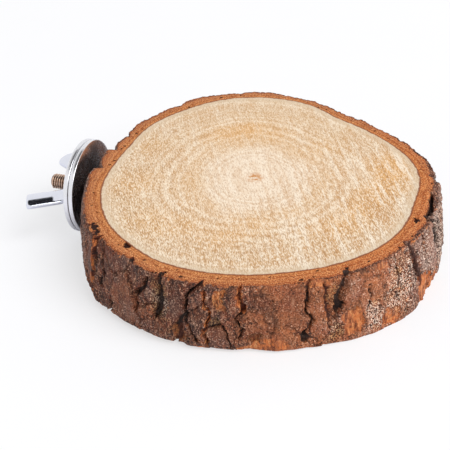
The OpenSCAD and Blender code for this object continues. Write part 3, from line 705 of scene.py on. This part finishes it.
def blade(outline):
    """A skin over a closed outline in the plane of the wings: round edges, and faces that are arched
    across the blade."""
    line = evenly(outline, 120)
    along = np.roll(line, -1, 0) - np.roll(line, 1, 0)
    inward = np.stack([-along[:, 1], along[:, 0]], -1) / np.hypot(*along.T)[:, None]
    middle = line.mean(0)
    lean = math.radians(BLADE_LEAN)
    across = np.array([math.cos(lean), -math.sin(lean)])
    tip = line[line[:, 1].argsort()[-30:]] @ across
    centre, half = (tip.max() + tip.min()) / 2, (tip.max() - tip.min()) / 2

    def height(at, share):
        offset = np.clip(np.abs(at @ across - centre) / half, 0, 1)
        crown = BLADE_CROWN * (1 - offset**2) * ramp(ROOT_FLAT, ROOT_FULL, at[..., 1])
        return share * (BLADE_EDGE + crown)

    level = []
    for angle in np.radians(np.linspace(0, 90, 6)):
        at = line + BLADE_SOFT * (1 - math.cos(angle)) * inward
        level.append((at, height(at, math.sin(angle))))
    shoulder = level[-1][0]
    for s in np.linspace(1, 0.08, 12)[1:]:
        at = middle + s * (shoulder - middle)
        level.append((at, height(at, 1)))
    rings = [np.column_stack([-x, at]) for at, x in level[::-1]]
    rings += [np.column_stack([x, at]) for at, x in level[1:]]
    top = height(middle, 1)
    return closed_skin(np.array(rings), [[-top, *middle], [top, *middle]])


def wing_outline():
    """One wing in its own plane: a web out of the hub and a square-ended blade that leans out."""
    span, height = nut_hi[1] - nut_lo[1], nut_hi[0] - nut_lo[0]
    run, lean = WING_W - 2 * WING_CORNER, math.radians(WING_LEAN)
    out_y = span / 2 - WING_CORNER
    in_y = out_y - run * math.cos(lean)
    in_z = height - WING_CORNER
    out_z = in_z - run * math.sin(lean)
    root_z = 0.6 * HUB_H
    root_out = out_y - (out_z - root_z) * math.tan(1.35 * lean)
    root_in = root_out - 0.4 * WING_W
    foot = [(2.2, root_z - 2), (root_in, root_z - 1.7)]
    heel = arc((root_out, root_z), WING_CORNER, -95, -30, 5)
    tip_out = arc((out_y, out_z), WING_CORNER, -20, 60, 6)
    tip_in = arc((in_y, in_z), WING_CORNER, 66, 165, 7)
    inner = [(root_in - 0.4, root_z + 4.2), (root_in - 1.6, root_z + 2.3), (2.2, root_z + 1.7)]
    return foot + heel + tip_out + tip_in + inner


def bore_cutter():
    """The nut's thread, flared at both faces of the hub."""
    rings = []
    for z in np.arange(-1, HUB_H + 1, MACHINE_STEP):
        flare = 0.5 * max(0, 0.5 - z, z - HUB_H + 0.5)
        rings.append(round_ring(thread_ring(z, BORE_CREST, BORE_ROOT, MACHINE_PITCH) + flare, z))
    ends = [[0, 0, ring[0, 2]] for ring in (rings[0], rings[-1])]
    return loose_mesh("cutter", *closed_skin(np.array(rings), ends))


def make_wing_nut(material):
    """Hub and wings are fused into one cast skin, then bored."""
    hub = closed_skin(lathe(HUB_PROFILE, HUB_COLUMNS), [[0, 0, HUB_FOOT], [0, 0, HUB_H]])
    points, faces = blade(wing_outline())
    other = points * [1, -1, 1], [face[::-1] for face in faces]
    whole = bmesh.new()
    for skin in (hub, (points, faces), other):
        part = loose_mesh("part", *skin)
        whole.from_mesh(part.data)
        bpy.data.objects.remove(part)
    cast = placed("cast", bpy.data.meshes.new("merged"))
    whole.to_mesh(cast.data)
    whole.free()
    remesh = cast.modifiers.new("fuse", "REMESH")
    remesh.mode, remesh.voxel_size = "VOXEL", CAST_GRAIN * MM
    relax = cast.modifiers.new("relax", "SMOOTH")
    relax.factor, relax.iterations = 0.5, 5
    cutter = bore_cutter()
    cut = cast.modifiers.new("bore", "BOOLEAN")
    cut.operation, cut.object, cut.solver = "DIFFERENCE", cutter, "EXACT"
    graph = bpy.context.evaluated_depsgraph_get()
    mesh = bpy.data.meshes.new_from_object(cast.evaluated_get(graph))
    points = np.array([v.co for v in mesh.vertices]) / MM
    faces = [tuple(p.vertices) for p in mesh.polygons]
    bpy.data.objects.remove(cast)
    bpy.data.objects.remove(cutter)
    skin = on_bolt(points, faces, -nut_hi[0] - seat_x)
    mesh_piece("cast_wing_nut", skin, material, "wing_nut", "wing_nut", sharp=60)


# Materials
def colour(r, g, b):
    """A screen colour of 0 to 255 as the linear colour that the shaders take."""
    def linear(v):
        v /= 255
        return v / 12.92 if v <= 0.04045 else ((v + 0.055) / 1.055) ** 2.4
    return (linear(r), linear(g), linear(b), 1)


def add_node(tree, kind, inputs=None, **settings):
    """A new node. A socket among its inputs is linked, and anything else is set as a value."""
    node = tree.nodes.new(kind)
    for key, value in settings.items():
        setattr(node, key, value)
    for key, value in (inputs or {}).items():
        if isinstance(value, bpy.types.NodeSocket):
            tree.links.new(value, node.inputs[key])
        else:
            node.inputs[key].default_value = value
    return node


class Surface:
    """A material with short calls for its nodes. Sizes are in millimetres."""

    def __init__(self, name, **shader):
        self.material = bpy.data.materials.new(name)
        self.material.use_nodes = True
        self.tree = self.material.node_tree
        self.shader = self.tree.nodes["Principled BSDF"]
        for key, value in shader.items():
            self.shader.inputs[key.replace("_", " ")].default_value = value
        self.place = self.add("ShaderNodeTexCoord").outputs["Object"]

    def add(self, kind, inputs=None, **settings):
        return add_node(self.tree, kind, inputs, **settings)

    def attribute(self, name):
        return self.add("ShaderNodeAttribute", attribute_name=name).outputs["Fac"]

    def axis(self, name):
        """One of the object coordinates, in metres."""
        return self.add("ShaderNodeSeparateXYZ", {0: self.place}).outputs[name]

    def math(self, operation, a, b=0.0):
        return self.add("ShaderNodeMath", {0: a, 1: b}, operation=operation).outputs[0]

    def times(self, a, b):
        return self.math("MULTIPLY", a, b)

    def plus(self, a, b):
        return self.math("ADD", a, b)

    def vector(self, operation, a, b):
        return self.add("ShaderNodeVectorMath", {0: a, 1: b}, operation=operation).outputs[0]

    def spot(self, stretch, turned=0.0):
        """Object coordinates, stretched along their own axes after a turn about Z."""
        inputs = {"Vector": self.place, "Rotation": (0, 0, math.radians(turned))}
        moved = self.add("ShaderNodeMapping", inputs, vector_type="TEXTURE").outputs["Vector"]
        return self.vector("MULTIPLY", moved, [1 / s for s in stretch])

    def grain(self, size, detail=4.0, rough=0.6, where=None, output="Fac"):
        inputs = {"Vector": where or self.place, "Scale": 1 / (size * MM), "Detail": detail}
        return self.add("ShaderNodeTexNoise", {**inputs, "Roughness": rough}).outputs[output]

    def wander(self, size, reach):
        """A vector that wanders by up to half of reach each way."""
        colours = self.grain(size, 3.0, 0.5, output="Color")
        return self.vector("MULTIPLY", self.vector("SUBTRACT", colours, [0.5] * 3), [reach * MM] * 3)

    def lines(self, value):
        """Noise along one value, so that it draws lines where the value is level."""
        inputs = {"W": value, "Scale": 1.0, "Detail": 2.0}
        return self.add("ShaderNodeTexNoise", inputs, noise_dimensions="1D").outputs["Fac"]

    def crackle(self, size, where=None, feature="DISTANCE_TO_EDGE"):
        inputs = {"Vector": where or self.place, "Scale": 1 / (size * MM)}
        return self.add("ShaderNodeTexVoronoi", inputs, feature=feature).outputs["Distance"]

    def step(self, value, start, end, low=0.0, high=1.0):
        """value between start and end as low to high, held at both ends."""
        inputs = {"Value": value, "From Min": start, "From Max": end, "To Min": low, "To Max": high}
        return self.add("ShaderNodeMapRange", inputs).outputs["Result"]

    def mix(self, share, *pair):
        """The first of two colours where share is 0, and the second where it is 1."""
        a, b = (colour(*c) if isinstance(c, tuple) else c for c in pair)
        return self.add("ShaderNodeMix", {0: share, 6: a, 7: b}, data_type="RGBA").outputs[2]

    def coats(self, tint, *coats):
        """tint with colours laid over it in turn. Each covers nothing where its value is start, and
        its share of what is below where it is end, times its masks."""
        for over, value, start, end, share, *masks in coats:
            cover = self.step(value, start, end, 0, share)
            for mask in masks:
                cover = self.times(cover, mask)
            tint = self.mix(cover, tint, over)
        return tint

    def bump(self, height, distance, strength):
        inputs = {"Height": height, "Distance": distance * MM, "Strength": strength}
        return self.add("ShaderNodeBump", inputs).outputs["Normal"]

    def finish(self, tint, roughness=None, normal=None):
        for key, value in (("Base Color", tint), ("Roughness", roughness), ("Normal", normal)):
            if value is not None:
                self.tree.links.new(value, self.shader.inputs[key])
        return self.material


def wood_material():
    s = Surface("sawn_end_grain", Roughness=0.75, Specular_IOR_Level=0.2)
    growth, stain = s.attribute("growth"), s.attribute("stain")
    bands = s.lines(s.plus(s.times(growth, 23), s.times(s.grain(14, 3), 2.2)))
    streak = s.grain(1.3, 3, where=s.spot((1, 14, 1), SAW_AZIMUTH - 90))
    dash = s.grain(0.2, 0, 0.5, s.spot((1, 5, 1), SAW_AZIMUTH - 90))
    pore = s.grain(0.17, 0)
    broad = s.grain(20, 2)
    coarse = s.grain(3.0, 3)
    bent = s.plus(growth, s.step(s.grain(9, 3), 0.3, 0.7, -0.05, 0.05))
    edge = s.plus(growth, s.step(s.grain(2.2, 3), 0.3, 0.7, -0.004, 0.004))
    faint = s.step(growth, 0.15, 0.5, 0.35, 1)
    right = s.step(s.axis("X"), 0.0, 30 * MM, 0.35, 1)
    strong = s.times(s.step(growth, 0.1, 0.8, 0.35, 0.62), s.step(s.axis("Y"), 0, 40 * MM, 1, 0.65))

    tint = s.coats(
        (240, 211, 177),
        ((234, 200, 159), broad, 0.35, 0.65, 1),
        # A pale heart, a browner rim, an arc between them, then growth rings and stains
        ((249, 230, 207), bent, 0.42, 0.3, 0.85),
        ((188, 162, 130), growth, 0.45, 0.85, 0.2),
        ((224, 180, 130), bent, 0.38, 0.43, 1, s.step(bent, 0.54, 0.45), s.step(broad, 0.4, 0.6, 0.1, 0.45)),
        ((214, 172, 126), bands, 0.47, 0.63, 0.6, faint),
        ((250, 230, 204), bands, 0.44, 0.32, 0.5, faint),
        ((230, 172, 98), stain, 0.1, 1.1, 0.95),
        # The saw's marks, then dashes and pores of the grain
        ((208, 158, 104), streak, 0.5, 0.62, 0.7, right),
        ((252, 236, 214), streak, 0.48, 0.36, 0.75, right),
        ((208, 168, 120), coarse, 0.54, 0.7, 0.12),
        ((160, 116, 76), dash, 0.5, 0.72, 1, strong),
        ((255, 247, 230), dash, 0.5, 0.3, 1, strong),
        ((150, 106, 68), pore, 0.58, 0.74, 0.6, strong),
        # The pith and the edge against the bark
        ((206, 142, 84), growth, 0.07, 0.02, 1, s.step(s.grain(1.2, 2), 0.4, 0.56)),
        ((218, 197, 170), edge, 0.93, 0.975, 0.6),
        ((130, 64, 30), edge, 0.99, 0.996, 0.9),
    )
    height = s.plus(s.times(dash, 0.4), s.times(coarse, 0.3))
    return s.finish(tint, None, s.bump(height, 0.2, 0.6))


def cut_bark_colour(s, rim):
    """Sawn bark: fibrous orange brown in arcs, darker and redder towards the rim."""
    fibre = s.grain(0.38, 1)
    blotch = s.grain(3.0, 3)
    pits = s.crackle(1.5, feature="F1")
    arcs = s.lines(s.plus(s.times(rim, 7), s.times(s.grain(5, 3), 5)))
    tint = s.coats(
        (210, 132, 76),
        ((162, 76, 30), rim, 0, 0.9, 1),
        ((204, 96, 30), s.axis("X"), 0, 40 * MM, 0.4),
        ((152, 74, 32), blotch, 0.42, 0.62, 0.45),
        ((140, 62, 24), arcs, 0.49, 0.62, 0.6),
        ((228, 156, 92), arcs, 0.48, 0.36, 0.4),
        ((104, 44, 18), fibre, 0.52, 0.68, 0.75),
        ((244, 184, 126), fibre, 0.47, 0.32, 0.7),
        ((76, 32, 14), pits, 0.16, 0.1, 0.8),
        ((96, 44, 24), rim, 0.8, 1.0, 0.75),
        # Painted shade in the pits
        ((44, 18, 10), s.attribute("pit"), 0.1, 0.6, 1),
    )
    return tint, fibre


def inner_bark_material():
    s = Surface("cut_inner_bark", Roughness=0.75, Specular_IOR_Level=0.2)
    rim = s.attribute("rim")
    tint, fibre = cut_bark_colour(s, s.times(rim, 0.35))
    tint = s.coats(tint, ((124, 62, 30), rim, 0.1, 0.04, 0.7))
    return s.finish(tint, None, s.bump(fibre, 0.3, 0.8))


def outer_bark_material():
    s = Surface("rough_outer_bark", Roughness=0.62, Specular_IOR_Level=0.25)
    crack, raw, grit, tone_and_light, ash = map(s.attribute, ("crack", "raw", "grit", "tone_and_light", "ash"))
    coarse = s.step(s.attribute("even"), 0, 1, 1, 0.45)
    streak = s.grain(0.8, where=s.spot((1, 1, 3.5)))
    patchy = s.grain(4.5)
    speck = s.grain(0.42, 1, 0.5)
    clump = s.grain(1.5, 2)
    scales = s.crackle(3.2, s.vector("ADD", s.spot((1, 1, 2)), s.wander(1.6, 1.8)))
    rough = s.times(s.step(clump, 0.4, 0.65, 0.45, 1), s.step(coarse, 0.45, 1, 0.8, 1))
    pale = s.mix(s.step(ash, 0, 0.5), (212, 160, 128), (246, 220, 200))
    skin = s.coats(
        (90, 51, 36),
        # The tone, partly painted light from the lamp's side
        ((192, 114, 66), tone_and_light, 0, 1, 1),
        ((140, 70, 44), patchy, 0.42, 0.62, 0.5),
        ((88, 60, 51), patchy, 0.46, 0.34, 0.4),
        ((172, 146, 134), ash, 0.1, 1.1, 0.75),
        ((50, 30, 24), streak, 0.53, 0.64, 0.8, coarse),
        ((204, 154, 122), streak, 0.45, 0.34, 0.55, coarse),
        (pale, speck, 0.57, 0.7, 1, rough),
        ((30, 16, 12), speck, 0.46, 0.36, 1, rough),
        ((40, 24, 19), scales, 0.05, 0.0, 0.9, coarse),
    )
    # Ribbed orange bark where the skin is broken
    ribs = s.grain(0.9, 3, 0.65, s.spot((1, 1, 4.5)))
    bare = s.coats(
        (194, 110, 58),
        ((172, 98, 60), patchy, 0.42, 0.6, 1),
        ((98, 48, 28), ribs, 0.5, 0.6, 0.85),
        ((230, 162, 104), ribs, 0.46, 0.36, 0.65),
    )
    broken = s.plus(raw, s.times(s.grain(1.2, 3, 0.65), 1.4))
    crumb = s.mix(s.step(ash, 0.08, 0.3), (204, 158, 104), (246, 226, 206))
    # Painted shade in the fissures, deep patches and round the washer seat, and dark seams between plates
    deep = s.mix(s.step(raw, 0.2, 0.6), (34, 22, 18), (72, 26, 14))
    tint = s.coats(
        skin,
        (bare, broken, 1.05, 1.3, 1),
        (crumb, speck, 0.5, 0.64, 0.95, grit),
        ((46, 26, 18), speck, 0.48, 0.38, 0.95, grit),
        (deep, s.plus(crack, s.times(speck, 0.5)), 0.45, 0.95, 0.92),
        # Painted shade in the pits and the rift
        ((30, 16, 12), s.attribute("pit"), 0.2, 0.6, 0.95),
    )
    cut, _ = cut_bark_colour(s, s.attribute("rim"))
    tint = s.mix(s.attribute("sawn"), tint, cut)
    height = s.plus(s.times(streak, 0.6), s.times(speck, 0.6))
    return s.finish(tint, None, s.bump(height, 0.45, 0.9))


def plated_material(name, tint, roughness):
    """Bright zinc plate: nearly a mirror, with faint haze and fine scuffs."""
    s = Surface(name, Metallic=1.0)
    haze = s.grain(6, 3)
    scuff = s.grain(0.25, 2, where=s.spot((1, 6, 1), 20))
    shade = s.mix(s.step(haze, 0.35, 0.7, 0, 0.3), tint, tuple(v - 14 for v in tint))
    hazy = s.step(haze, 0.3, 0.7, roughness, roughness + 0.05)
    rough = s.plus(hazy, s.step(scuff, 0.5, 0.8, 0, 0.05))
    return s.finish(shade, rough, s.bump(haze, 0.02, 0.3))


def bolt_material():
    """Yellow passivated steel, with painted shade in the thread's roots."""
    s = Surface("passivated_bolt", Metallic=1.0)
    haze = s.grain(1.5, 4)
    shade = s.mix(s.step(haze, 0.35, 0.65), (240, 212, 190), (202, 168, 144))
    # Painted shade: dark brown in the thread's roots
    shade = s.coats(shade, ((54, 38, 30), s.attribute("root"), 0, 1, 0.85))
    return s.finish(shade, s.step(haze, 0.3, 0.7, 0.18, 0.3))


# Studio, in millimetres: a pale floor that both washers and the slice's far lower edge rest on, soft
# light and a dark card. The bleach is the share of the floor's shadows that the camera doesn't see
FLOOR_REACH = 1200
FLOOR_TOUCH = 50
FLOOR_GAP = 0.02
FLOOR_BLEACH = 0.6
SKY = 0.55
FLAG_X, FLAG_Y, FLAG_Z = (-420, 300), (-450, 500), 800
CAMERA_AT = Vector((116.20, -326.34, 222.50)) * MM
CAMERA_AIM = Vector((-8.20, -9.22, 11.25)) * MM
CAMERA_ROLL = -3.73
CAMERA_SENSOR = 36
CAMERA_LENS = 105.14


def card(name, xs, ys, z, material):
    """A flat rectangle from its spans and its height."""
    corners = [(xs[0], ys[0], z), (xs[1], ys[0], z), (xs[1], ys[1], z), (xs[0], ys[1], z)]
    thing = loose_mesh(name, corners, [(0, 1, 2, 3)])
    thing.data.materials.append(material)
    return thing


def make_floor():
    s = Surface("pale_floor", Roughness=0.9, Specular_IOR_Level=0.0)
    cloud = s.grain(60, 2)
    s.finish(s.mix(s.step(cloud, 0.3, 0.7), (251, 251, 255), (249, 249, 254)))
    # The camera sees the floor's shadows at part of their depth, as on the bleached photograph
    glow = s.add("ShaderNodeEmission", {"Color": (1, 1, 1, 1), "Strength": 1.0})
    seen = s.times(s.add("ShaderNodeLightPath").outputs["Is Camera Ray"], FLOOR_BLEACH)
    both = s.add("ShaderNodeMixShader", {0: seen, 1: s.shader.outputs[0], 2: glow.outputs[0]})
    s.tree.links.new(both.outputs[0], s.tree.nodes["Material Output"].inputs["Surface"])
    span = (-FLOOR_REACH, FLOOR_REACH)
    floor = card("floor", span, span, 0, s.material)
    washer_x = (outer_lo[0] + washer_hi[0]) / 2
    floor.rotation_euler = (0, -math.atan2(-washer_lo[2], FLOOR_TOUCH - washer_x), 0)
    floor.location = (FLOOR_TOUCH * MM, 0, -FLOOR_GAP * MM)


def make_world():
    """Soft light from all round, and plain white behind the scene and in its reflections."""
    world = bpy.data.worlds.new("studio")
    bpy.context.scene.world = world
    world.use_nodes = True
    tree = world.node_tree
    fill = tree.nodes["Background"]
    fill.inputs["Color"].default_value = (0.98, 0.99, 1, 1)
    fill.inputs["Strength"].default_value = SKY
    rays = add_node(tree, "ShaderNodeLightPath").outputs
    seen = rays["Is Camera Ray"]
    for ray in ("Is Glossy Ray", "Is Transmission Ray"):
        seen = add_node(tree, "ShaderNodeMath", {0: seen, 1: rays[ray]}, operation="MAXIMUM").outputs[0]
    white = add_node(tree, "ShaderNodeBackground", {"Color": (1, 1, 1, 1)})
    either = add_node(tree, "ShaderNodeMixShader", {0: seen, 1: fill.outputs[0], 2: white.outputs[0]})
    tree.links.new(either.outputs[0], tree.nodes["World Output"].inputs["Surface"])


def make_flag():
    """A dark card overhead, seen only in the polished metal, as in the photograph."""
    black = Surface("flag_black", Base_Color=colour(26, 26, 30), Roughness=1.0).material
    flag = card("flag", FLAG_X, FLAG_Y, FLAG_Z, black)
    for ray in ("camera", "diffuse", "transmission", "shadow"):
        setattr(flag, "visible_" + ray, False)


def make_lamp(name, azimuth, elevation, distance, size, level):
    """An area lamp at a direction from the slice, its distance and size in metres. level is what it
    adds to a white surface that faces it."""
    a, e = math.radians(azimuth), math.radians(elevation)
    way = Vector((math.cos(a) * math.cos(e), math.sin(a) * math.cos(e), math.sin(e)))
    data = bpy.data.lights.new(name, "AREA")
    data.shape, data.size = "DISK", size
    data.energy = level * (math.pi * distance) ** 2
    lamp = placed(name, data)
    lamp.location = way * distance
    lamp.rotation_euler = way.to_track_quat("Z", "Y").to_euler()


def make_camera():
    data = bpy.data.cameras.new("camera")
    data.sensor_width, data.lens = CAMERA_SENSOR, CAMERA_LENS
    camera = placed("camera", data)
    level = (CAMERA_AIM - CAMERA_AT).to_track_quat("-Z", "Y").to_matrix().to_4x4()
    roll = Matrix.Rotation(math.radians(CAMERA_ROLL), 4, "Z")
    camera.matrix_world = Matrix.Translation(CAMERA_AT) @ level @ roll
    bpy.context.scene.camera = camera


make_camera()
make_wood(wood_material())
make_inner_bark(inner_bark_material())
make_outer_bark(outer_bark_material())
make_bolt(bolt_material())
washer_metal = plated_material("bright_washer", (232, 232, 236), 0.22)
make_washer("bright_inner_washer", "inner_washer", seat_gap, washer_metal)
make_washer("bright_outer_washer", "outer_washer", -outer_hi[0] - seat_x, washer_metal)
make_wing_nut(plated_material("bright_wing_nut", (224, 226, 236), 0.1))
make_floor()
make_world()
make_lamp("key", azimuth=335, elevation=46, distance=3.0, size=2.4, level=0.85)
make_flag()
bpy.context.scene.view_settings.view_transform = "Standard"
